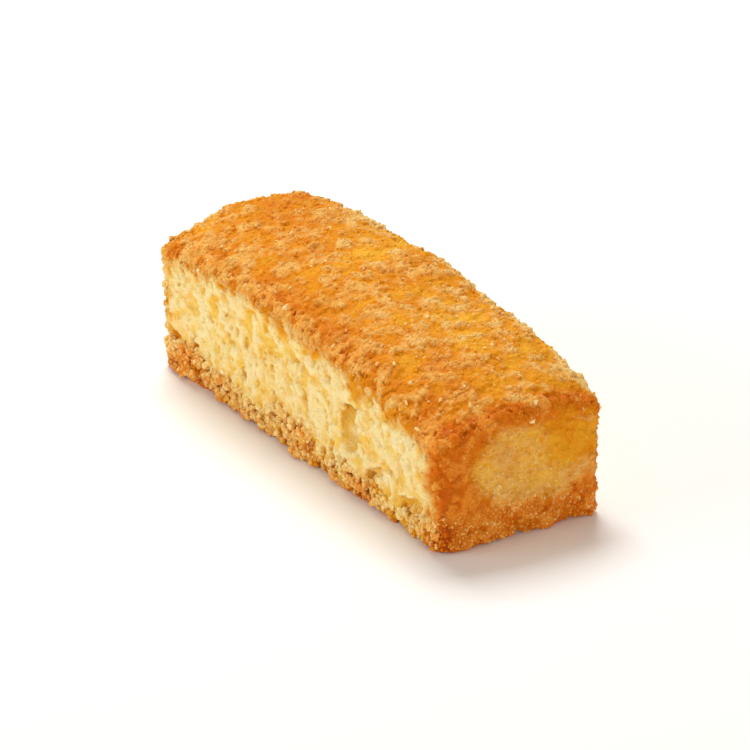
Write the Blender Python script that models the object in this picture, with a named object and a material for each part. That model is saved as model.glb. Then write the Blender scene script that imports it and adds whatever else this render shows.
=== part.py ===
"""Almond financier: a small cake baked in a bar mould and turned out, as one solid.

Metres, +Z up. The bar runs along X and rests on its flat foot, whose middle is the origin.
The long side that shows its torn, open crumb faces -Y, and the baked end that shows faces +X.
"""

import math

import bmesh
import bpy
from mathutils import Vector, noise

# Driving sizes of the bar, in metres
LENGTH = 0.0805
WIDTH = 0.0288
CORNER_HEIGHT = 0.0189
END_FALL = 0.0016  # how far the rim drops from the middle to the +X end
SIDE_RISE = 0.0007  # how far the rim rises from the middle to the +Y side
CROWN_ALONG = 0.0041  # rise of the top from the ends to the middle
CROWN_ACROSS = 0.0035  # rise of the top from the long sides to the middle
CROWN_SHARED = -0.0009  # takes a little off where both rises meet
CROWN_ALONG_POWER = 3.3
CROWN_ACROSS_POWER = 2.2
FOOT_INSET_SIDES = 0.0008  # the mould is this much narrower at the foot, on each long side
FOOT_INSET_ENDS = 0.0001
ROUND_TOP = 0.0012
ROUND_FOOT = 0.0009

# The crust stands a little proud of the crumb round the rim
LIP_OUT_ENDS = 0.0003
LIP_OUT_SIDES = 0.0002
LIP_DEPTH = 0.0026

# Broad swells of the top: (x, y, radius, height)
TOP_SWELLS = (
    (0.0220, 0.0110, 0.0060, 0.0003),
    (0.0330, 0.0060, 0.0080, -0.0004),
    (0.0100, 0.0120, 0.0070, -0.0004),
    (-0.0060, 0.0120, 0.0070, 0.0007),
    (-0.0230, 0.0110, 0.0080, -0.0005),
    (-0.0200, -0.0090, 0.0080, -0.0004),
    (0.0120, -0.0060, 0.0090, 0.0003),
)

# Hollows torn in the -Y side: (x, height, half width, half height, lean, depth)
TORN_HOLLOWS = (
    (0.0142, 0.0106, 0.0024, 0.0044, -0.35, 0.0024),
    (0.0213, 0.0058, 0.0013, 0.0034, -0.95, 0.0015),
    (0.0315, 0.0050, 0.0036, 0.0015, 0.25, 0.0021),
    (0.0270, 0.0085, 0.0012, 0.0011, 0.0, 0.0010),
    (0.0002, 0.0160, 0.0019, 0.0009, 0.30, 0.0011),
    (0.0052, 0.0190, 0.0011, 0.0016, 0.0, 0.0008),
    (-0.0164, 0.0077, 0.0010, 0.0010, 0.0, 0.0011),
    (-0.0208, 0.0120, 0.0011, 0.0011, 0.4, 0.0008),
    (-0.0076, 0.0068, 0.0010, 0.0016, 0.0, 0.0010),
    (-0.0309, 0.0073, 0.0012, 0.0014, 0.3, 0.0013),
    (0.0015, 0.0108, 0.0010, 0.0011, 0.0, 0.0008),
    (-0.0300, 0.0002, 0.0046, 0.0013, 0.0, 0.0016),
)

# Relief of the baked surface: (grain size, height)
UNEVEN = (0.0130, 0.00045)
LUMPS = (0.0042, 0.00042)
TOP_GRAIN = (0.0024, 0.00035)
SIDE_GRAIN = (0.0021, 0.00030)
CRAGS = (0.0030, 0.0012)  # crumb clusters along the foot of the sides
CRAG_BAND = 0.0050  # how far up the sides the crags reach
FLAT_FOOT_MARGIN = 0.0022  # the rim of the foot that the crags may eat into

CELLS = (150, 54, 40)  # of the net along X, Y and Z
KEPT_TRIANGLES = 11600  # after the flatter parts of the net are thinned out
LEVEL_UNDER = 0.00006  # thinning leaves the foot this far from level at most


def ramp(value, low, high):
    """Smoothly 0 below low and 1 above high."""
    share = min(max((value - low) / (high - low), 0.0), 1.0)
    return share * share * (3.0 - 2.0 * share)


def top_height(across_x, across_y):
    """Height of the top over a point given as shares of the half length and half width."""
    along = 1.0 - abs(across_x) ** CROWN_ALONG_POWER
    across = 1.0 - abs(across_y) ** CROWN_ACROSS_POWER
    height = CORNER_HEIGHT - END_FALL * across_x + SIDE_RISE * across_y
    return height + CROWN_ALONG * along + CROWN_ACROSS * across + CROWN_SHARED * along * across


def rounded_box(point):
    """Pulls a point of the sharp box in to the box with rounded edges, larger at the top."""
    half = Vector((LENGTH / 2, WIDTH / 2, CORNER_HEIGHT / 2))
    centred = Vector((point.x, point.y, point.z - half.z))
    radius = ROUND_FOOT + (ROUND_TOP - ROUND_FOOT) * ramp(point.z, 0.3 * CORNER_HEIGHT, 0.7 * CORNER_HEIGHT)
    core = Vector(max(-(h - radius), min(h - radius, c)) for c, h in zip(centred, half))
    out = centred - core
    if out.length > 0.0:
        out *= radius / max(out.length, 1e-9)
    return core + out + Vector((0.0, 0.0, half.z))


def moulded(point):
    """The bar as it leaves the mould: tapered to the foot, crowned on top, with its crust lip."""
    box = rounded_box(point)
    height_share = box.z / CORNER_HEIGHT
    share_x = box.x / (LENGTH / 2)
    share_y = box.y / (WIDTH / 2)
    height = top_height(share_x, share_y)
    for swell_x, swell_y, radius, rise in TOP_SWELLS:
        reach = math.hypot(box.x - swell_x, box.y - swell_y) / radius
        height += rise * math.exp(-reach * reach)
    z = height * height_share
    inset = 1.0 - height_share
    lip = ramp(z, height - LIP_DEPTH, height - 0.5 * LIP_DEPTH)
    x = box.x + share_x * (LIP_OUT_ENDS * lip - FOOT_INSET_ENDS * inset)
    y = box.y + share_y * (LIP_OUT_SIDES * lip - FOOT_INSET_SIDES * inset)
    return Vector((x, y, z))


def hollow_depth(x, z):
    """How deep the torn hollows cut at a point of the -Y side."""
    depth = 0.0
    for at_x, at_z, wide, high, lean, deep in TORN_HOLLOWS:
        along = (x - at_x) * math.cos(lean) + (z - at_z) * math.sin(lean)
        up = (z - at_z) * math.cos(lean) - (x - at_x) * math.sin(lean)
        reach = math.hypot(along / wide, up / high)
        depth = max(depth, deep * (1.0 - ramp(reach, 0.55, 1.25)))
    return depth


def grain(point, sort, seed):
    """Signed noise of a given grain size and height."""
    size, height = sort
    return height * noise.noise(point / size + Vector((seed, 0.37 * seed, -0.71 * seed)))


def crags(point):
    """Crumb clusters with gaps between them, strongest along the foot of the sides."""
    size, height = CRAGS
    ridged = 1.0 - 2.0 * abs(noise.noise(point / size + Vector((5.1, 2.3, 9.7))))
    finer = noise.noise(point * 2.1 / size)
    return height * (0.55 * ridged + 0.5 * finer - 0.35) * (1.0 - ramp(point.z, 0.2 * CRAG_BAND, CRAG_BAND))


def relief(point, normal):
    """How far the baked surface stands out from the moulded one."""
    upward = ramp(normal.z, 0.3, 0.8)
    to_side = ramp(abs(normal.y), 0.6, 0.9)
    out = grain(point, UNEVEN, 1.0) + grain(point, LUMPS, 2.0)
    out += upward * grain(point, TOP_GRAIN, 3.0) + (1.0 - upward) * grain(point, SIDE_GRAIN, 4.0)
    out += (0.45 + 0.55 * to_side) * crags(point)
    if normal.y < 0.0:
        out -= to_side * hollow_depth(point.x, point.z)
    return out


def net_box():
    """A cube primitive cut into cells, as tall as the corners of the bar and standing on z = 0."""
    net = bmesh.new()
    bmesh.ops.create_cube(net, size=1.0)
    for axis, cells in enumerate(CELLS):
        edges = [e for e in net.edges if abs(e.verts[0].co[axis] - e.verts[1].co[axis]) > 0.5]
        bmesh.ops.subdivide_edges(net, edges=edges, cuts=cells - 1, use_grid_fill=True)
    size = Vector((LENGTH, WIDTH, CORNER_HEIGHT))
    for vertex in net.verts:
        vertex.co = Vector(c * s for c, s in zip(vertex.co, size))
        vertex.co.z += CORNER_HEIGHT / 2
    return net


def bake_surface(net):
    """Shapes the net to the moulded bar, then raises the relief along its normals."""
    for vertex in net.verts:
        vertex.co = moulded(vertex.co)
    net.normal_update()
    normals = [vertex.normal.copy() for vertex in net.verts]
    for vertex, normal in zip(net.verts, normals):
        to_rim_x = LENGTH / 2 - abs(vertex.co.x)
        to_rim_y = WIDTH / 2 - abs(vertex.co.y)
        rests = vertex.co.z < 1e-6 and min(to_rim_x, to_rim_y) > FLAT_FOOT_MARGIN
        if not rests:
            vertex.co += normal * relief(vertex.co, normal)
        vertex.co.z = max(vertex.co.z, 0.0)


def thin_out(cake):
    """Fewer triangles where the surface is flatter."""
    modifier = cake.modifiers.new("thin_out", "DECIMATE")
    modifier.ratio = KEPT_TRIANGLES / (2 * len(cake.data.polygons))
    graph = bpy.context.evaluated_depsgraph_get()
    cake.data = bpy.data.meshes.new_from_object(cake.evaluated_get(graph))
    cake.modifiers.clear()


def seat(mesh):
    """Levels the foot at z = 0 and centres the bounding box on the origin in X and Y."""
    for vertex in mesh.vertices:
        if vertex.co.z < LEVEL_UNDER:
            vertex.co.z = 0.0
    for axis in (0, 1):
        places = [vertex.co[axis] for vertex in mesh.vertices]
        middle = (min(places) + max(places)) / 2
        for vertex in mesh.vertices:
            vertex.co[axis] -= middle


def golden_crust():
    """The browned almond crust, matt with a slight buttery shine."""
    material = bpy.data.materials.new("golden_crust")
    material.use_nodes = True
    shader = material.node_tree.nodes["Principled BSDF"]
    shader.inputs["Base Color"].default_value = (0.71, 0.33, 0.07, 1.0)
    shader.inputs["Roughness"].default_value = 0.55
    shader.inputs["Metallic"].default_value = 0.0
    return material


def make_financier(collection):
    net = net_box()
    bake_surface(net)
    bmesh.ops.recalc_face_normals(net, faces=net.faces)
    mesh = bpy.data.meshes.new("financier_cake")
    net.to_mesh(mesh)
    net.free()
    cake = bpy.data.objects.new("financier_cake", mesh)
    collection.objects.link(cake)
    thin_out(cake)
    seat(cake.data)
    cake.data.shade_smooth()
    cake.data.materials.append(golden_crust())


def main():
    for old in list(bpy.data.objects):
        bpy.data.objects.remove(old)
    collection = bpy.data.collections.new("financier")
    bpy.context.scene.collection.children.link(collection)
    make_financier(collection)


main()
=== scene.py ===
import math

import bpy
import numpy as np
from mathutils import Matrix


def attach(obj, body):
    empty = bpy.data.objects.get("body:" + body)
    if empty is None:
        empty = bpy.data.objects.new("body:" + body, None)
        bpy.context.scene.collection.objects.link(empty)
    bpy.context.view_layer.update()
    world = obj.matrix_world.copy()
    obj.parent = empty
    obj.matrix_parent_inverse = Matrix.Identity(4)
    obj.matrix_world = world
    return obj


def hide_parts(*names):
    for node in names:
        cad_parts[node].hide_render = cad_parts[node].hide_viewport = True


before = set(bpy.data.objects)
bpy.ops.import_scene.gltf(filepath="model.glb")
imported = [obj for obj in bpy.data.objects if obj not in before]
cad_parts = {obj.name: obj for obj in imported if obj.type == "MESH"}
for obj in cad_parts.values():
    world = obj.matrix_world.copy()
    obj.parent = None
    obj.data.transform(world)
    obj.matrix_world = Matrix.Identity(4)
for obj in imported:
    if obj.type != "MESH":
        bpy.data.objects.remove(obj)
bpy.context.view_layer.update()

import openvdb as vdb
from mathutils import Matrix, Vector
from mathutils.bvhtree import BVHTree

MM = 0.001

# Sizes of the baked surface, in millimetres
VOXEL = 0.20
REACH = 12  # voxels of distance kept on each side of the surface
MOST_TRIANGLES = 196000
MOST_GRAINS = 9800  # of twenty triangles each
HALF_LENGTH = 41.0
HALF_WIDTH = 14.9
RIM_HEIGHT = 19.0
SEED = 20
# widths of the crumb's unevenness, the streaks being tall and narrow
NOISE_SIZES = {"broad": 7.0, "mid": 2.8, "small": 1.4, "fine": 0.75, "streak": (0.9, 0.9, 3.0)}
# the tunnel torn in the long side, as rounded hollows: (x, z, radius)
TUNNEL = ((12.0, 14.3, 1.2), (13.2, 12.9, 1.9), (14.3, 11.3, 2.3), (15.2, 9.7, 2.1), (16.0, 8.3, 1.4))
# crust baked outwards at the -X end of the torn side: (place, radii)
CRUST_TUFTS = (((-39.5, -13.3, 19.2), (1.3, 1.2, 1.1)), ((-39.3, -13.1, 17.9), (1.3, 1.3, 1.0)))
# larger almond flecks seen on the crust: (x, y, size)
CLEAR_FLECKS = (
    (36.2, -6.2, 0.55),
    (31.0, -10.2, 0.40),
    (32.5, -9.1, 0.48),
    (28.9, -12.9, 0.50),
    (34.0, -14.2, 0.48),
    (-8.5, -10.2, 0.60),
    (9.0, -13.3, 0.42),
    (-12.7, -13.1, 0.38),
)
CLEAR_FLECK_SHAPE = (1.25, 0.75, 0.5)  # its length, width and thickness for its size

# Colours from pale crumb to dark crust: in the buttery hollows, darker and deeper, partly as painted shade
# in sunken places, and on the dry grains
HOLLOW_COLOURS = (
    (0.00, (0.92, 0.61, 0.120)),
    (0.20, (0.89, 0.47, 0.030)),
    (0.42, (0.77, 0.290, 0.003)),
    (0.60, (0.68, 0.200, 0.002)),
    (0.78, (0.66, 0.150, 0.001)),
    (1.00, (0.43, 0.068, 0.001)),
)
GRAIN_COLOURS = (
    (0.00, (0.95, 0.80, 0.43)),
    (0.20, (0.94, 0.71, 0.29)),
    (0.42, (0.87, 0.57, 0.190)),
    (0.60, (0.86, 0.44, 0.085)),
    (0.78, (0.83, 0.27, 0.018)),
    (1.00, (0.60, 0.16, 0.012)),
)


# Volume tools


def ramp(value, low, high):
    """Smoothly 0 below low and 1 above high."""
    share = np.clip((value - low) / (high - low), 0.0, 1.0)
    return share * share * (3.0 - 2.0 * share)


def points_of(mesh):
    """Points of a mesh in millimetres."""
    points = np.empty(len(mesh.vertices) * 3, np.float32)
    mesh.vertices.foreach_get("co", points)
    return points.reshape(-1, 3) / MM


def triangles_of(mesh):
    """Corners of a mesh's triangles, as numbers of its points."""
    mesh.calc_loop_triangles()
    corners = np.empty(len(mesh.loop_triangles) * 3, np.int32)
    mesh.loop_triangles.foreach_get("vertices", corners)
    return corners.reshape(-1, 3)


class Volume:
    """Signed distances in millimetres on a dense grid of voxels, negative inside."""

    def __init__(self, points, triangles):
        grid = vdb.FloatGrid.createLevelSetFromPolygons(
            points,
            triangles=triangles.astype(np.uint32),
            transform=vdb.createLinearTransform(voxelSize=VOXEL),
            halfWidth=REACH,
        )
        low, high = grid.evalActiveVoxelBoundingBox()
        self.low = np.array(low)
        self.field = np.empty(np.array(high) - self.low + 1, np.float32)
        grid.copyToArray(self.field, ijk=low)
        self.edge = float(grid.background)

    def places(self, axis):
        """Coordinates of the voxels along an axis, in millimetres, shaped to broadcast."""
        shape = [1, 1, 1]
        shape[axis] = -1
        along = (self.low[axis] + np.arange(self.field.shape[axis])) * VOXEL
        return along.astype(np.float32).reshape(shape)

    def sample(self, field, points):
        """Values of a field at points in millimetres, interpolated."""
        at = np.clip(points / VOXEL - self.low, 0.0, np.array(field.shape) - 1.001)
        base = at.astype(np.int32)
        part = (at - base).astype(np.float32)
        total = np.zeros(len(points), np.float32)
        for corner in range(8):
            step = np.array([corner >> 2 & 1, corner >> 1 & 1, corner & 1])
            weight = np.prod(np.where(step, part, 1.0 - part), axis=1)
            i, j, k = (base + step).T
            total += weight * field[i, j, k]
        return total

    def polygons(self):
        """Points in millimetres and faces of the surface."""
        grid = vdb.FloatGrid(self.edge)
        grid.copyFromArray(np.ascontiguousarray(self.field), ijk=tuple(int(v) for v in self.low))
        grid.transform = vdb.createLinearTransform(voxelSize=VOXEL)
        points, triangles, quads = grid.convertToPolygons(0.0, 0.0)
        return points, triangles.tolist() + quads.tolist()


def blurred(field, rounds, step=1):
    """The field with each voxel averaged with those a step away, so many times over."""
    out = field
    for _ in range(rounds):
        for axis in range(3):
            ends = [(step, step) if axis == a else (0, 0) for a in range(3)]
            padded = np.pad(out, ends, "edge")
            count = out.shape[axis]
            before = padded.take(range(count), axis)
            after = padded.take(range(2 * step, count + 2 * step), axis)
            out = 0.25 * before + 0.5 * out + 0.25 * after
    return out


def spline_rows(count, size):
    """Cubic spline weights that spread coarse values size voxels apart over count voxels."""
    at = np.arange(count) / size
    base = np.floor(at).astype(int)
    part = at - base
    weights = (
        (1 - part) ** 3 / 6,
        (3 * part**3 - 6 * part**2 + 4) / 6,
        (-3 * part**3 + 3 * part**2 + 3 * part + 1) / 6,
        part**3 / 6,
    )
    rows = np.zeros((count, int(base[-1]) + len(weights)), np.float32)
    for offset, weight in enumerate(weights):
        rows[np.arange(count), base + offset] = weight
    return rows


def soft_noise(shape, size_mm, draw):
    """Smooth noise over the voxels with a given grain size, about -1 to 1."""
    sizes = size_mm if isinstance(size_mm, tuple) else (size_mm,) * 3
    rows = [spline_rows(count, size / VOXEL) for count, size in zip(shape, sizes)]
    coarse = draw.standard_normal([r.shape[1] for r in rows], np.float32)
    out = np.tensordot(rows[0], coarse, (1, 0))
    out = np.tensordot(out, rows[1], (1, 1)).transpose(0, 2, 1)
    out = np.tensordot(out, rows[2], (2, 1))
    flattened_by_splines = 1.9
    return (out * flattened_by_splines).astype(np.float32)


def stamp(volume, centres, radii, joined, soft):
    """Joins rounded grains to the volume, or cuts rounded pores out of it."""
    field = volume.field
    index = centres / VOXEL - volume.low
    spans = np.ceil((radii + 2.0 * soft) / VOXEL).astype(int) + 1
    limit = np.array(field.shape)
    for at, size, span in zip(index, radii, spans):
        first = np.maximum(np.floor(at).astype(int) - span, 0)
        last = np.minimum(np.floor(at).astype(int) + span + 2, limit)
        if (last <= first).any():
            continue
        x, y, z = (
            ((np.arange(first[a], last[a]) - at[a]) * (VOXEL / size[a])).astype(np.float32)
            for a in range(3)
        )
        away = np.sqrt(x[:, None, None] ** 2 + y[None, :, None] ** 2 + z[None, None, :] ** 2)
        away = (away - 1.0) * float(size.min())
        part = field[first[0]:last[0], first[1]:last[1], first[2]:last[2]]
        other = part if joined else -part
        mix = np.clip(1.0 - np.abs(other - away) / soft, 0.0, 1.0)
        both = np.minimum(other, away) - 0.25 * soft * mix * mix
        part[...] = both if joined else -both


def spread_points(points, triangles, spacing, draw):
    """Points and outward normals spread evenly over the triangles, about spacing apart."""
    corners = points[triangles]
    normals = np.cross(corners[:, 1] - corners[:, 0], corners[:, 2] - corners[:, 0])
    areas = np.linalg.norm(normals, axis=1)
    tries = 6  # points thrown for each one wanted, of which one a cell is kept
    count = int(areas.sum() / 2 / spacing**2 * tries)
    which = draw.choice(len(areas), count, p=areas / areas.sum())
    u = draw.random(count)
    v = draw.random(count)
    over = u + v > 1
    u[over] = 1 - u[over]
    v[over] = 1 - v[over]
    a, b, c = corners[which].transpose(1, 0, 2)
    found = a + (b - a) * u[:, None] + (c - a) * v[:, None]
    cells = np.floor(found / spacing).astype(np.int64)
    kept = np.unique(cells, axis=0, return_index=True)[1]
    kept.sort()
    return found[kept], (normals / areas[:, None])[which[kept]]


# Where the cake is crust, crumb or foot


class Zones:
    """Where on the cake a point lies, worked out from its place and the height of the top."""

    def __init__(self, volume):
        inside = volume.field < 0
        heights = (volume.low[2] + inside.shape[2] - 1 - inside[:, :, ::-1].argmax(2)) * VOXEL
        self.low = volume.low[:2]
        self.heights = self.carried_out(heights.astype(np.float32), inside.any(2))
        self.volume = volume
        self.smooth = None
        self.noise = {
            name: soft_noise(inside.shape, size, np.random.default_rng(SEED + n))
            for n, (name, size) in enumerate(NOISE_SIZES.items())
        }

    @staticmethod
    def carried_out(heights, covered):
        """The height of the top a little inside its rim, carried outwards past the sides."""
        inwards, outwards = round(1.3 / VOXEL), round(4.0 / VOXEL)
        beside = [(step, axis) for axis in (0, 1) for step in (-1, 1)]
        for _ in range(inwards):
            covered = np.logical_and.reduce([covered] + [np.roll(covered, *turn) for turn in beside])
        out = np.where(covered, heights, 0.0)
        for _ in range(outwards):
            grown = np.maximum.reduce([np.roll(out, *turn) for turn in beside])
            out = np.where(out > 0.0, out, grown)
        return out

    def keep_smooth(self):
        """Remembers the surface as it is before its grain is added."""
        self.smooth = self.volume.field.copy()

    def rise(self, points):
        """How far points stand out of the smooth surface, less than nought in its hollows."""
        return self.volume.sample(self.smooth, points)

    def top(self, points):
        """Height of the top over each point."""
        at = np.round(points[:, :2] / VOXEL - self.low).astype(int)
        at = np.clip(at, 0, np.array(self.heights.shape) - 1)
        return self.heights[at[:, 0], at[:, 1]]

    def at(self, points):
        """Distances in millimetres from each of the cake's edges, with the noise of each size."""
        x, y, z = points.T
        zone = {name: self.volume.sample(field, points) for name, field in self.noise.items()}
        zone.update(
            x=x,
            y=y,
            z=z,
            under_top=self.top(points) - z,
            from_end=HALF_LENGTH - np.abs(x),
            from_side=HALF_WIDTH - np.abs(y),
        )
        zone["ragged"] = 0.9 * zone["mid"] + 0.8 * zone["small"] + 0.5 * zone["fine"]
        zone["recess"] = zone["from_side"] - 1.25 + 0.8 * z / RIM_HEIGHT
        return zone


def crust_share(zone):
    """1 on the baked top and its lip, 0 on the sides below."""
    near_side = zone["from_side"] < zone["from_end"]
    side_lip = 0.9 + 0.8 * ramp(-zone["x"], 5.0, 38.0) + 0.8 * ramp(zone["x"], 24.0, 36.0)
    end_lip = 2.2
    lip = np.where(near_side, side_lip, end_lip)
    lip = np.maximum(lip + 0.8 * zone["ragged"], 1.0)
    return 1.0 - ramp(zone["under_top"], lip - 0.6, lip + 1.2)


def side_share(zone):
    """1 on the long sides, 0 on the ends."""
    return ramp(zone["from_end"] - zone["from_side"], -0.6, 0.6)


def foot_share(zone):
    """1 in the browned, craggy band at the foot of the sides, which is taller to the -X end."""
    height = 4.6 + 0.7 * zone["broad"] + 1.0 * zone["ragged"] + 1.4 * ramp(-zone["x"], 12.0, 34.0)
    return 1.0 - ramp(zone["z"], height - 2.6, height + 2.2)


def rim_share(zone):
    """1 along the crust's rim and the upright corners, where the surface is broken."""
    from_edge = np.minimum(zone["from_side"], zone["from_end"])
    lip = (1.0 - ramp(from_edge, 1.6, 3.2)) * (1.0 - ramp(zone["under_top"], 1.8, 3.4))
    corner = (1.0 - ramp(zone["from_end"], 1.4, 3.0)) * side_share(zone) * (zone["y"] < 0)
    return np.maximum(lip, 0.8 * corner)


def torn_share(zone):
    """1 in the deep smooth hollows torn in the long side."""
    hollow = ramp(zone["recess"], 0.45, 0.9) * ramp(zone["z"], 2.5, 4.0)
    return hollow * side_share(zone) * ramp(zone["from_end"], 3.0, 5.0) * (1.0 - crust_share(zone))


# Building the surface


def levelled_top(volume):
    """The field with the lumps of the top evened out inside its rim, ready for finer crumb."""
    x, y, z = (volume.places(axis) for axis in range(3))
    from_rim = np.minimum(HALF_LENGTH - np.abs(x), HALF_WIDTH - np.abs(y))
    inside = ramp(from_rim, 1.5, 3.5) * ramp(z, 12.0, 15.0)
    even = blurred(blurred(volume.field, 3, 2), 2, 4)
    return volume.field + inside * (even - volume.field)


def tear_tunnel(volume):
    """Cuts the tunnel out of the long side."""
    middle_y = 0.55 - HALF_WIDTH
    depth = 3.0
    for x, z, radius in TUNNEL:
        radii = np.array([[radius, depth, 1.1 * radius]])
        stamp(volume, np.array([[x, middle_y, z]]), radii, False, 0.3)


def roughen(volume, zones):
    """Raises unevenness of each size all over, with upright streaks on the long sides."""
    for name, height in (("mid", 0.06), ("small", 0.10), ("fine", 0.17)):
        volume.field -= height * zones.noise[name]
    sideways = ramp(np.abs(volume.places(1)), 11.0, 13.0)
    streaked = 0.07 * zones.noise["streak"] + 0.06 * zones.noise["small"] + 0.07 * zones.noise["fine"]
    volume.field -= sideways * streaked


def upright_corners(volume):
    """Distance outside the bar's rounded upright corners, the one in front being the roundest."""
    x, y = volume.places(0), volume.places(1)
    widening = 0.7 * (volume.places(2) / RIM_HEIGHT)
    radius = np.where((x > 0) & (y < 0), 3.0, 2.2)
    over_x = np.abs(x) - (HALF_LENGTH - 0.4 - radius)
    over_y = np.abs(y) - (HALF_WIDTH - 1.1 - radius) - widening
    past = np.hypot(np.maximum(over_x, 0.0), np.maximum(over_y, 0.0)) - radius
    well_inside = -9.0
    return np.where((over_x > 0) & (over_y > 0), past, well_inside).astype(np.float32)


def open_pores(volume, zones, surface, draw):
    """Pores of the pale crumb, most of them taller than they are wide."""
    at, out = spread_points(*surface, 1.55, draw)
    zone = zones.at(at)
    crumb = (1.0 - crust_share(zone)) * side_share(zone)
    kept = (draw.random(len(at)) < 0.45 * crumb * (1.0 - torn_share(zone))) & (at[:, 2] > 0.8)
    at, out = at[kept], out[kept]
    size = 0.26 + 0.72 * draw.random(len(at)) ** 3.0
    radii = np.stack([size, 0.9 * size, size * draw.uniform(0.9, 1.8, len(at))], 1)
    stamp(volume, at + out * size[:, None] * 0.1, radii, False, 0.20)


def add_cobbles(volume, zones, surface, draw):
    """Low cobbled grains all over, apart from the smooth torn hollows."""
    at, out = spread_points(*surface, 0.72, draw)
    kept = (draw.random(len(at)) < 0.80 * (1.0 - torn_share(zones.at(at)))) & (at[:, 2] > 0.6)
    at, out = at[kept], out[kept]
    size = 0.28 + 0.26 * draw.random(len(at))
    radii = size[:, None] * draw.uniform(0.7, 1.35, (len(at), 3))
    sunk = draw.uniform(-0.85, -0.15, len(at)) * size - volume.sample(volume.field, at)
    stamp(volume, at + out * sunk[:, None], radii, True, 0.10)


def break_rim(volume, zones, surface, draw):
    """Bites out of the crust's rim and the corners, then lumps on them."""
    for spacing, share, low, spread, sunk_low, sunk_high, joined in (
        (1.2, 0.45, 0.22, 0.36, 0.05, 0.50, False),
        (0.8, 0.65, 0.20, 0.18, -0.60, 0.00, True),
    ):
        at, out = spread_points(*surface, spacing, draw)
        kept = (draw.random(len(at)) < share * rim_share(zones.at(at))) & (at[:, 2] > 1.2)
        at, out = at[kept], out[kept]
        size = low + spread * draw.random(len(at)) ** 1.5
        radii = size[:, None] * draw.uniform(0.75, 1.3, (len(at), 3))
        sunk = draw.uniform(sunk_low, sunk_high, len(at)) * size
        stamp(volume, at + out * sunk[:, None], radii, joined, 0.18)


def gape_foot(volume, zones, surface, draw):
    """Dark gaps between the crumbs of the foot, on the long sides."""
    at, out = spread_points(*surface, 1.4, draw)
    zone = zones.at(at)
    craggy = foot_share(zone) * side_share(zone)
    kept = (draw.random(len(at)) < 0.8 * craggy) & (at[:, 2] > 0.9) & (np.abs(out[:, 2]) < 0.9)
    at, out = at[kept], out[kept]
    size = 0.36 + 0.62 * draw.random(len(at))
    radii = size[:, None] * draw.uniform(0.8, 1.25, (len(at), 3))
    stamp(volume, at + out * (size * 0.10)[:, None], radii, False, 0.10)


def cluster_foot(volume, zones, surface, draw):
    """Crumb clusters round the foot, fewer of them on the ends."""
    at, out = spread_points(*surface, 1.0, draw)
    zone = zones.at(at)
    craggy = foot_share(zone) * (0.35 + 0.65 * side_share(zone))
    kept = (draw.random(len(at)) < 0.7 * craggy) & (at[:, 2] > 0.5) & (np.abs(out[:, 2]) < 0.9)
    at, out = at[kept], out[kept]
    size = 0.26 + 0.36 * draw.random(len(at))
    radii = size[:, None] * draw.uniform(0.75, 1.3, (len(at), 3))
    sunk = draw.uniform(-0.5, 0.4, len(at)) * size
    stamp(volume, at + out * sunk[:, None], radii, True, 0.10)


def crumb_surface(node):
    """The cake's solid with its crumb: pores, hollows and crags as real relief."""
    surface = (points_of(node.data), triangles_of(node.data))
    volume = Volume(*surface)
    volume.field = blurred(volume.field, 3)
    volume.field = levelled_top(volume)
    zones = Zones(volume)
    tear_tunnel(volume)
    zones.keep_smooth()

    roughen(volume, zones)
    volume.field = np.maximum(volume.field, upright_corners(volume))
    for place, radii in CRUST_TUFTS:
        stamp(volume, np.array([place]), np.array([radii]), True, 0.3)
    draw = np.random.default_rng(SEED)
    for add_detail in (open_pores, add_cobbles, break_rim, gape_foot, cluster_foot):
        add_detail(volume, zones, surface, draw)

    # nothing reaches below the table top, and the foot stays flat
    volume.field = np.maximum(volume.field, -volume.places(2))
    return volume, zones


def new_mesh(name, points, faces):
    """A mesh from points in millimetres."""
    mesh = bpy.data.meshes.new(name)
    mesh.from_pydata((points * MM).tolist(), [], faces)
    mesh.update()
    return mesh


def thinned(mesh, most):
    """The mesh with few enough triangles, fewest where it is flattest."""
    holder = bpy.data.objects.new("holder", mesh)
    bpy.context.scene.collection.objects.link(holder)
    count = sum(len(p.vertices) - 2 for p in mesh.polygons)
    if count > most:
        modifier = holder.modifiers.new("thin_out", "DECIMATE")
        modifier.ratio = most / count
        graph = bpy.context.evaluated_depsgraph_get()
        mesh = bpy.data.meshes.new_from_object(holder.evaluated_get(graph))
    bpy.data.objects.remove(holder)
    return mesh


def paint(mesh, name, values):
    """Stores one number per point for the materials to read."""
    attribute = mesh.attributes.new(name, "FLOAT", "POINT")
    attribute.data.foreach_set("value", np.ascontiguousarray(values, np.float32))


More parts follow.
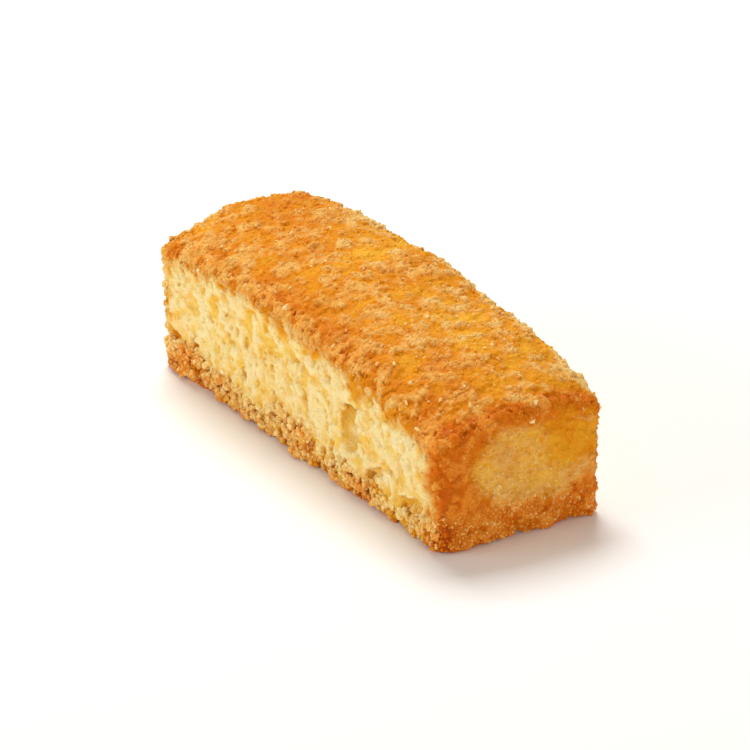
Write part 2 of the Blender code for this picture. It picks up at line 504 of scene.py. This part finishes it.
def browning(zone):
    """How far each point is baked: 0 pale crumb, 0.5 golden, 1 dark brown."""
    crust, foot, side = crust_share(zone), foot_share(zone), side_share(zone)
    x, y, z = zone["x"], zone["y"], zone["z"]
    ragged = zone["ragged"]

    top = 0.48 + 0.06 * zone["broad"] + 0.07 * ragged
    top += 0.17 * (1.0 - ramp(zone["from_side"] + 1.0 * ragged, 0.3, 6.5)) * (y < 0)
    top += 0.42 * (1.0 - ramp(HALF_LENGTH - x + 0.9 * ragged, 0.5, 5.4))
    top -= 0.11 * ramp(x, -5.0, 25.0) * ramp(y, -8.0, 4.0)
    top = np.minimum(top, 0.77)

    pale = 0.05 + 0.03 * zone["broad"] + 0.05 * ragged
    under_crust = 0.35 * (1.0 - ramp(zone["under_top"] + 1.4 * ragged, 0.6, 6.6)) ** 1.5
    corner = np.where(x > 0, 0.74, 0.40) * (1.0 - ramp(zone["from_end"] + 0.9 * ragged, 1.8, 7.0))
    sides = np.maximum(pale, np.maximum(under_crust, corner))

    from_middle = np.hypot((y - 1.6) / 9.2, (z - 11.2) / 6.8) + 0.08 * ragged + 0.08 * zone["broad"]
    ends = 0.33 + 0.45 * ramp(from_middle, 0.65, 1.25) + 0.05 * ragged
    ends += (0.37 - ends) * ramp(y + 0.7 * ragged, 4.0, 9.0) * ramp(z + ragged, 7.0, 13.0)
    beside = 1.0 - ramp(y + 14.4 + 0.8 * ragged, 1.0, 5.0)
    ends += beside * np.where(x > 0, 0.12, -0.30)
    brown_foot = 0.54 + 0.12 * ragged + 0.05 * ramp(-x, 12.0, 34.0) + 0.16 * (1.0 - ramp(z, 0.4, 1.7))

    baked = side * sides + (1.0 - side) * ends
    baked = baked + (np.maximum(brown_foot, baked) - baked) * foot
    soft_lip = 1.0 - ramp(zone["under_top"] + 1.3 * ragged, 0.6, 4.8)
    crust = np.where(zone["from_side"] < zone["from_end"], 0.5 * crust + 0.5 * soft_lip, crust)
    return np.clip(baked + (top - baked) * crust, 0.0, 1.0)


def dryness_and_hollow_shade(zones, at):
    """Over nought on the raised, dry patches of the surface and under it in the buttery hollows, which also
    paints shade into the sunken places.
    """
    zone = zones.at(at)
    side = side_share(zone)
    crust, foot = crust_share(zone), foot_share(zone)
    # painted shade: points sunk below the smooth surface read as buttery and take the darker hollow colour
    height = zones.rise(at) - 0.17 * crust
    crumbly = np.maximum(foot, 0.9 * (1.0 - side) * ramp(browning(zone), 0.45, 0.65)) * (1.0 - crust)
    browned = np.maximum(crust, crumbly)
    pale_end = (1.0 - side) * (1.0 - browned)

    patches = (0.05 + 0.04 * browned) * zone["mid"] + (0.12 + 0.21 * crumbly + 0.06 * crust) * zone["small"]
    patches += (0.14 + 0.25 * crumbly) * zone["fine"] + 0.09 * side * (1.0 - browned) * zone["streak"]
    patches = patches * (0.1 + 0.9 * np.maximum(side, browned)) * (1.0 + 1.3 * rim_share(zone))

    wet_end = (1.0 - side) * ramp(zone["y"], 2.0, 8.0) * ramp(zone["z"], 8.0, 13.0)
    wet_corner = 0.8 * side * (1.0 - crust) * (1.0 - ramp(zone["from_end"], 3.0, 7.0)) * (zone["x"] < 0)
    wet = wet_end + wet_corner
    even = (
        0.06 * side
        - 0.22 * crust
        + 0.20 * crust * rim_share(zone)
        - 0.12 * (1.0 - side) * (1.0 - browned)
    )
    even += (
        0.06 * foot
        - 0.07 * (1.0 - side) * browned * (1.0 - crust)
        - 0.25 * wet
        - 0.30 * torn_share(zone)
        - 0.15 * (1.0 - ramp(zone["z"], 0.3, 1.4))
    )
    return (0.5 - 0.3 * pale_end) * height + patches + even


# Materials


def node_group(name, inputs, outputs):
    """An empty shader group: its inputs are (name, kind, default), its outputs (name, kind)."""
    group = bpy.data.node_groups.new(name, "ShaderNodeTree")
    for label, kind, default in inputs:
        socket = group.interface.new_socket(label, in_out="INPUT", socket_type=kind)
        socket.default_value = default
    for label, kind in outputs:
        group.interface.new_socket(label, in_out="OUTPUT", socket_type=kind)
    return group, group.nodes.new("NodeGroupInput"), group.nodes.new("NodeGroupOutput")


def noise_node(nodes, links, coordinates, size_mm, detail):
    """Noise of about size_mm across over object coordinates."""
    node = nodes.new("ShaderNodeTexNoise")
    node.inputs["Scale"].default_value = 1.0 / (size_mm * MM * 1.4)
    node.inputs["Detail"].default_value = detail
    links.new(coordinates, node.inputs["Vector"])
    return node.outputs["Fac"]


def maths(nodes, links, operation, a, b, c=None, clamp=False):
    """The result of a sum on sockets or plain numbers."""
    node = nodes.new("ShaderNodeMath")
    node.operation = operation
    node.use_clamp = clamp
    for slot, value in enumerate((a, b, c)):
        if value is None:
            continue
        if isinstance(value, (int, float)):
            node.inputs[slot].default_value = value
        else:
            links.new(value, node.inputs[slot])
    return node.outputs[0]


def colour_ramp(nodes, links, factor, stops):
    """The colour that a factor picks between stops: (position, colour)."""
    node = nodes.new("ShaderNodeValToRGB")
    elements = node.color_ramp.elements
    while len(elements) < len(stops):
        elements.new(0.5)
    for element, (position, colour) in zip(elements, stops):
        element.position = position
        element.color = (*colour, 1.0)
    links.new(factor, node.inputs["Fac"])
    return node.outputs["Color"]


def baked_colour_group():
    """Colour of baked almond batter: deeper in its hollows, partly as painted shade, lighter on its grains.
    """
    group, given, result = node_group(
        "baked_colour",
        [
            ("Browning", "NodeSocketFloat", 0.5),
            ("Dry", "NodeSocketFloat", 0.0),
            ("Mottle", "NodeSocketFloat", 0.12),
            ("Speckle", "NodeSocketFloat", 1.0),
        ],
        [("Color", "NodeSocketColor")],
    )
    nodes, links = group.nodes, group.links
    place = nodes.new("ShaderNodeTexCoord").outputs["Object"]
    coarse = noise_node(nodes, links, place, 2.0, 3.0)
    fine = noise_node(nodes, links, place, 0.40, 3.0)
    drift = maths(nodes, links, "SUBTRACT", coarse, 0.5)
    baked = maths(nodes, links, "MULTIPLY_ADD", drift, given.outputs["Mottle"], given.outputs["Browning"])
    specks = maths(nodes, links, "SUBTRACT", fine, 0.5)
    specks = maths(nodes, links, "MULTIPLY", specks, given.outputs["Speckle"])
    # painted shade in part: a low Dry, as in sunken places, picks the darker hollow colour
    share = maths(nodes, links, "MULTIPLY_ADD", given.outputs["Dry"], 2.0, specks)
    share = maths(nodes, links, "ADD", share, 0.5, clamp=True)
    mix = nodes.new("ShaderNodeMix")
    mix.data_type = "RGBA"
    links.new(share, mix.inputs["Factor"])
    links.new(colour_ramp(nodes, links, baked, HOLLOW_COLOURS), mix.inputs["A"])
    links.new(colour_ramp(nodes, links, baked, GRAIN_COLOURS), mix.inputs["B"])
    links.new(mix.outputs["Result"], result.inputs["Color"])
    return group


def butter_sheen_group():
    """Roughness that drops on small buttery facets, and a fine crumb height."""
    group, given, result = node_group(
        "butter_sheen",
        [
            ("Dry", "NodeSocketFloat", 0.62),
            ("Glossy", "NodeSocketFloat", 0.28),
            ("Amount", "NodeSocketFloat", 0.5),
        ],
        [("Roughness", "NodeSocketFloat"), ("Height", "NodeSocketFloat")],
    )
    nodes, links = group.nodes, group.links
    place = nodes.new("ShaderNodeTexCoord").outputs["Object"]
    spots = noise_node(nodes, links, place, 0.6, 2.0)
    spread = nodes.new("ShaderNodeMapRange")
    spread.inputs["From Min"].default_value = 0.45
    spread.inputs["From Max"].default_value = 0.70
    links.new(spots, spread.inputs["Value"])
    links.new(given.outputs["Dry"], spread.inputs["To Min"])
    links.new(given.outputs["Glossy"], spread.inputs["To Max"])
    links.new(spread.outputs["Result"], result.inputs["Roughness"])
    fine = noise_node(nodes, links, place, 0.30, 3.0)
    links.new(maths(nodes, links, "MULTIPLY", fine, given.outputs["Amount"]), result.inputs["Height"])
    return group


def cake_material(name, groups, speckle, shine, bump_mm, mottle=0.38, dry=0.50, glossy=0.24, soft=0.0):
    """Baked almond crumb. Dry and glossy are its roughness on dry crumb and on buttery facets."""
    material = bpy.data.materials.new(name)
    material.use_nodes = True
    nodes, links = material.node_tree.nodes, material.node_tree.links
    shader = nodes["Principled BSDF"]
    colour = nodes.new("ShaderNodeGroup")
    colour.node_tree = groups["colour"]
    colour.inputs["Mottle"].default_value = mottle
    colour.inputs["Speckle"].default_value = speckle
    painted = {}
    for label, attribute in (("Browning", "browning"), ("Dry", "dry")):
        reader = nodes.new("ShaderNodeAttribute")
        reader.attribute_name = attribute
        painted[label] = reader.outputs["Fac"]
        links.new(painted[label], colour.inputs[label])
    sheen = nodes.new("ShaderNodeGroup")
    sheen.node_tree = groups["sheen"]
    sheen.inputs["Dry"].default_value = dry
    sheen.inputs["Glossy"].default_value = glossy
    # the pale crumb is sandier than the crust
    links.new(maths(nodes, links, "MULTIPLY_ADD", painted["Browning"], -0.5, 1.2), sheen.inputs["Amount"])
    bump = nodes.new("ShaderNodeBump")
    bump.inputs["Strength"].default_value = 0.6
    bump.inputs["Distance"].default_value = bump_mm * MM
    links.new(sheen.outputs["Height"], bump.inputs["Height"])
    links.new(colour.outputs["Color"], shader.inputs["Base Color"])
    links.new(sheen.outputs["Roughness"], shader.inputs["Roughness"])
    links.new(bump.outputs["Normal"], shader.inputs["Normal"])
    shader.inputs["Subsurface Weight"].default_value = soft
    shader.inputs["Subsurface Radius"].default_value = (1.0, 0.55, 0.22)
    shader.inputs["Subsurface Scale"].default_value = 1.1 * MM
    shader.inputs["Specular IOR Level"].default_value = shine
    return material


# Pieces


def link(obj):
    """Puts an object in the scene."""
    bpy.context.scene.collection.objects.link(obj)
    return obj


def make_cake(node, groups):
    """The whole cake as one surface, painted with its baking, with how dry or buttery it is, and with
    painted shade in its hollows and in the foot's gaps.
    """
    volume, zones = crumb_surface(node)
    mesh = thinned(new_mesh("cake_crumb", *volume.polygons()), MOST_TRIANGLES)
    mesh.name = "cake_crumb"
    mesh.shade_smooth()
    at = points_of(mesh)
    zone = zones.at(at)
    # painted shade: the foot's sunken gaps get 0.40 more browning, a darker colour that stands for the
    # shade between its crumbs
    gaps = np.clip(-zones.rise(at), 0.0, 1.0) * foot_share(zone)
    paint(mesh, "browning", browning(zone) + 0.40 * gaps)
    paint(mesh, "dry", dryness_and_hollow_shade(zones, at))
    mesh.materials.clear()
    mesh.materials.append(cake_material(
        "baked_crumb", groups, speckle=1.0, shine=0.09, bump_mm=0.62, dry=0.60, glossy=0.34, soft=0.38
    ))
    cake = link(bpy.data.objects.new("cake_crumb", mesh))
    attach(cake, "root")
    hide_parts("financier_cake")
    return mesh, zones


GOLD = (1.0 + 5.0**0.5) / 2.0
GRAIN_POINTS = np.array(
    [(0, a, b * GOLD) for a in (-1, 1) for b in (-1, 1)]
    + [(a, b * GOLD, 0) for a in (-1, 1) for b in (-1, 1)]
    + [(b * GOLD, 0, a) for a in (-1, 1) for b in (-1, 1)]
) / math.hypot(1.0, GOLD)
GRAIN_CORNERS = len(GRAIN_POINTS)


def grain_faces():
    """The twenty triangles of a grain, each turned outwards."""
    near = np.linalg.norm(GRAIN_POINTS[:, None] - GRAIN_POINTS, axis=2) < 1.1
    faces = []
    for i in range(GRAIN_CORNERS):
        for j in range(i + 1, GRAIN_CORNERS):
            for k in range(j + 1, GRAIN_CORNERS):
                if near[i, j] and near[j, k] and near[i, k]:
                    a, b, c = GRAIN_POINTS[[i, j, k]]
                    outwards = np.dot(np.cross(b - a, c - a), a + b + c) > 0
                    faces.append((i, j, k) if outwards else (i, k, j))
    return np.array(faces)


def turned(count, draw):
    """Random rotations, one a grain."""
    quaternions = draw.standard_normal((count, 4))
    w, x, y, z = quaternions.T / np.linalg.norm(quaternions, axis=1)
    return np.stack([
        np.stack([1 - 2 * (y * y + z * z), 2 * (x * y - w * z), 2 * (x * z + w * y)], 1),
        np.stack([2 * (x * y + w * z), 1 - 2 * (x * x + z * z), 2 * (y * z - w * x)], 1),
        np.stack([2 * (x * z - w * y), 2 * (y * z + w * x), 1 - 2 * (x * x + y * y)], 1),
    ], 1)


def make_grains(name, places, radii, browned, dry, material, draw):
    """Small angular grains as one mesh: radii holds three sizes a grain, in millimetres."""
    count = len(places)
    shapes = GRAIN_POINTS[None] * radii[:, None, :] * draw.uniform(0.75, 1.2, (count, GRAIN_CORNERS, 1))
    points = np.einsum("nij,nkj->nki", turned(count, draw), shapes) + places[:, None, :]
    faces = (grain_faces()[None] + GRAIN_CORNERS * np.arange(count)[:, None, None]).reshape(-1, 3)
    mesh = new_mesh(name, points.reshape(-1, 3), faces.tolist())
    mesh.shade_smooth()
    paint(mesh, "browning", np.repeat(browned, GRAIN_CORNERS))
    paint(mesh, "dry", np.repeat(dry, GRAIN_CORNERS))
    mesh.materials.append(material)
    grains = link(bpy.data.objects.new(name, mesh))
    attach(grains, "root")
    return grains


def surface_spots(mesh, spacing, draw):
    """Places and outward normals spread over the finished surface."""
    return spread_points(points_of(mesh), triangles_of(mesh), spacing, draw)


def chosen(kept, draw, *arrays):
    """The rows to keep, no more than one piece may hold, picked evenly from all of them."""
    rows = np.flatnonzero(kept)
    if len(rows) > MOST_GRAINS:
        rows = np.sort(draw.permutation(rows)[:MOST_GRAINS])
    return [array[rows] for array in arrays]


def make_crust_grains(mesh, zones, groups):
    """Dry almond grains baked on to the top, fewer in its buttery hollows."""
    draw = np.random.default_rng(SEED + 50)
    at, out = surface_spots(mesh, 0.42, draw)
    dry = dryness_and_hollow_shade(zones, at)
    zone = zones.at(at)
    likely = 0.25 + 0.2 * rim_share(zone) + 0.6 * ramp(dry, -0.20, 0.05)
    likely = ramp(crust_share(zone), 0.0, 0.5) * likely
    at, out, dry = chosen((draw.random(len(at)) < likely) & (out[:, 2] > -0.3), draw, at, out, dry)
    size = 0.14 + 0.16 * draw.random(len(at)) ** 1.8
    radii = size[:, None] * draw.uniform(0.6, 1.6, (len(at), 3))
    places = at + out * (size * draw.uniform(-0.85, -0.25, len(at)))[:, None]
    browned = browning(zones.at(at)) + draw.normal(-0.05, 0.05, len(at))
    dry = dry + draw.normal(0.01, 0.12, len(at))
    material = cake_material("crust_grain", groups, speckle=1.6, shine=0.14, bump_mm=0.16)
    make_grains("crust_grains", places, radii, browned, dry, material, draw)


def make_crumb_grains(mesh, zones, groups):
    """Sandy grains of the browned ends and of the band under the crust."""
    draw = np.random.default_rng(SEED + 60)
    at, out = surface_spots(mesh, 0.42, draw)
    zone = zones.at(at)
    dry = dryness_and_hollow_shade(zones, at)
    likely = (1.0 - 0.7 * crust_share(zone)) * (1.0 - 0.8 * foot_share(zone) * side_share(zone))
    likely *= (0.15 + 0.85 * ramp(dry, -0.40, 0.15)) * ramp(browning(zone), 0.10, 0.32)
    likely = likely * (1.0 - torn_share(zone))
    shows = (at[:, 2] > 0.35) & (out[:, 2] < 0.6)
    at, out, dry = chosen((draw.random(len(at)) < likely) & shows, draw, at, out, dry)
    size = 0.14 + 0.13 * draw.random(len(at)) ** 1.6
    radii = size[:, None] * draw.uniform(0.6, 1.6, (len(at), 3))
    places = at + out * (size * draw.uniform(-0.8, -0.2, len(at)))[:, None]
    browned = browning(zones.at(at)) + draw.normal(-0.03, 0.04, len(at))
    dry = dry + draw.normal(0.06, 0.05, len(at))
    material = cake_material("crumb_grain", groups, speckle=0.8, shine=0.14, bump_mm=0.16)
    make_grains("crumb_grains", places, radii, browned, dry, material, draw)


def make_foot_crumbs(mesh, zones, groups):
    """Coarse crumbs baked together along the foot."""
    draw = np.random.default_rng(SEED + 70)
    at, out = surface_spots(mesh, 0.52, draw)
    zone = zones.at(at)
    dry = dryness_and_hollow_shade(zones, at)
    likely = (1.0 - crust_share(zone)) * ramp(foot_share(zone), 0.1, 0.8)
    shows = (at[:, 2] > 0.25) & (out[:, 2] > -0.85)
    at, out, dry = chosen((draw.random(len(at)) < likely) & shows, draw, at, out, dry)
    zone = zones.at(at)
    size = 0.17 + (0.12 + 0.22 * side_share(zone)) * draw.random(len(at)) ** 1.8
    size = np.minimum(size, at[:, 2] * 0.7)
    radii = size[:, None] * draw.uniform(0.75, 1.3, (len(at), 3))
    places = at + out * (size * draw.uniform(-0.7, 0.1, len(at)))[:, None]
    browned = 0.78 * browning(zone) + draw.normal(0.0, 0.12, len(at))
    dry = dry + draw.normal(0.12, 0.20, len(at))
    material = cake_material("foot_crumb", groups, speckle=1.2, shine=0.16, bump_mm=0.10)
    crumbs = make_grains("foot_crumbs", places, radii, browned, dry, material, draw)
    crumbs.data.shade_flat()


def clear_flecks(mesh):
    """Places, outward normals and sizes of the larger flecks, dropped on to the surface."""
    tree = BVHTree.FromPolygons([v.co for v in mesh.vertices], [p.vertices for p in mesh.polygons])
    over_cake, down = 40.0, Vector((0.0, 0.0, -1.0))
    found = [tree.ray_cast(Vector((x, y, over_cake)) * MM, down) for x, y, _ in CLEAR_FLECKS]
    at = np.array([place / MM for place, _, _, _ in found])
    out = np.array([normal for _, normal, _, _ in found])
    return at, out, np.array([size for _, _, size in CLEAR_FLECKS])


def make_flecks_and_painted_glints(mesh, zones, groups):
    """Pale flecks of almond caught on the crust, most near its edges, and a few on the sides; most of them
    are tiny pale specks, painted glints that stand for highlights.
    """
    draw = np.random.default_rng(SEED + 80)
    at, out = surface_spots(mesh, 0.50, draw)
    zone = zones.at(at)
    near_edge = 1.0 - ramp(zone["from_side"], 0.5, 6.0) * ramp(zone["from_end"], 0.5, 6.0)
    on_crust = 0.06 * crust_share(zone) * (0.6 + 0.4 * near_edge)
    on_sides = 0.015 * side_share(zone) * ramp(zone["z"], 0.5, 1.5)
    at, out = chosen(draw.random(len(at)) < on_crust + on_sides, draw, at, out)
    # painted highlights: nearly all of these are tiny pale specks standing for glints
    size = 0.07 + 0.33 * draw.random(len(at)) ** 7.0
    clear_at, clear_out, clear_size = clear_flecks(mesh)
    at = np.concatenate([at, clear_at])
    out = np.concatenate([out, clear_out])
    size = np.append(size, clear_size)
    radii = size[:, None] * draw.uniform(0.35, 1.6, (len(at), 3))
    radii[-len(clear_at):] = clear_size[:, None] * CLEAR_FLECK_SHAPE
    places = at + out * (size * draw.uniform(-0.4, 0.3, len(at)))[:, None]
    browned = np.clip(0.7 * browning(zones.at(at)) + draw.normal(-0.12, 0.08, len(at)), 0.0, 1.0)
    dry = 0.16 + 0.08 * draw.standard_normal(len(at))
    material = cake_material(
        "fleck_and_painted_glint", groups, speckle=0.4, shine=0.50, bump_mm=0.02, mottle=0.10, dry=0.30, glossy=0.08
    )
    flecks = make_grains("flecks_and_painted_glints", places, radii, browned, dry, material, draw)
    flecks.data.shade_flat()


# Studio


def area_light(name, place, size, power):
    """A soft rectangular light turned towards the middle of the cake."""
    lamp = bpy.data.lights.new(name, "AREA")
    lamp.shape = "RECTANGLE"
    lamp.size, lamp.size_y = size
    lamp.energy = power
    obj = link(bpy.data.objects.new(name, lamp))
    obj.location = place
    obj.rotation_mode = "QUATERNION"
    middle = Vector((0.0, 0.0, 0.01))
    obj.rotation_quaternion = (Vector(place) - middle).to_track_quat("Z", "Y")


def make_table():
    """The white table top, 6 m square, so that its edges stay out of the picture."""
    half = 3
    mesh = bpy.data.meshes.new("table_top")
    corners = [(-half, -half, 0), (half, -half, 0), (half, half, 0), (-half, half, 0)]
    mesh.from_pydata(corners, [], [(0, 1, 2, 3)])
    material = bpy.data.materials.new("white_table")
    material.use_nodes = True
    shader = material.node_tree.nodes["Principled BSDF"]
    shader.inputs["Base Color"].default_value = (0.92, 0.93, 0.94, 1.0)
    shader.inputs["Roughness"].default_value = 0.9
    shader.inputs["Specular IOR Level"].default_value = 0.2
    mesh.materials.append(material)
    link(bpy.data.objects.new("table_top", mesh))


def make_studio():
    """A warm white room with three soft lights."""
    world = bpy.data.worlds.new("white_room")
    world.use_nodes = True
    background = world.node_tree.nodes["Background"]
    background.inputs["Color"].default_value = (1.0, 0.86, 0.70, 1.0)
    background.inputs["Strength"].default_value = 0.41
    bpy.context.scene.world = world
    area_light("key", (-0.48, 0.16, 0.80), (0.44, 0.44), 7.3)
    area_light("front_fill", (-0.25, -0.90, 0.34), (0.6, 0.4), 3.3)
    area_light("end_fill", (0.95, -0.20, 0.28), (0.5, 0.4), 2.6)
    make_table()


def make_camera():
    """The camera at the photo's angle, a long lens so that the bar hardly narrows away."""
    around, above = math.radians(58.339), math.radians(24.762)
    pixels_per_mm, distance = 6.577, 1500.0
    photo_pixels, sensor_mm = 750, 36.0
    right_px, down_px = 2.329, 63.394
    back = Vector((
        math.sin(around) * math.cos(above),
        -math.cos(around) * math.cos(above),
        math.sin(above),
    ))
    right = (-back).cross(Vector((0, 0, 1))).normalized()
    up = right.cross(-back)
    place = back * distance - right * (right_px / pixels_per_mm) + up * (down_px / pixels_per_mm)
    camera = bpy.data.cameras.new("photo_camera")
    camera.sensor_width = sensor_mm
    camera.lens = pixels_per_mm * distance / photo_pixels * sensor_mm
    camera.clip_start = 0.05
    camera.clip_end = 20.0
    obj = link(bpy.data.objects.new("photo_camera", camera))
    turn = Matrix((right, up, back)).transposed().to_4x4()
    turn.translation = place * MM
    obj.matrix_world = turn
    bpy.context.scene.camera = obj


def main():
    groups = {"colour": baked_colour_group(), "sheen": butter_sheen_group()}
    mesh, zones = make_cake(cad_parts["financier_cake"], groups)
    make_crust_grains(mesh, zones, groups)
    make_crumb_grains(mesh, zones, groups)
    make_foot_crumbs(mesh, zones, groups)
    make_flecks_and_painted_glints(mesh, zones, groups)
    make_studio()
    make_camera()
    scene = bpy.context.scene
    scene.view_settings.view_transform = "Standard"
    scene.view_settings.look = "None"


main()
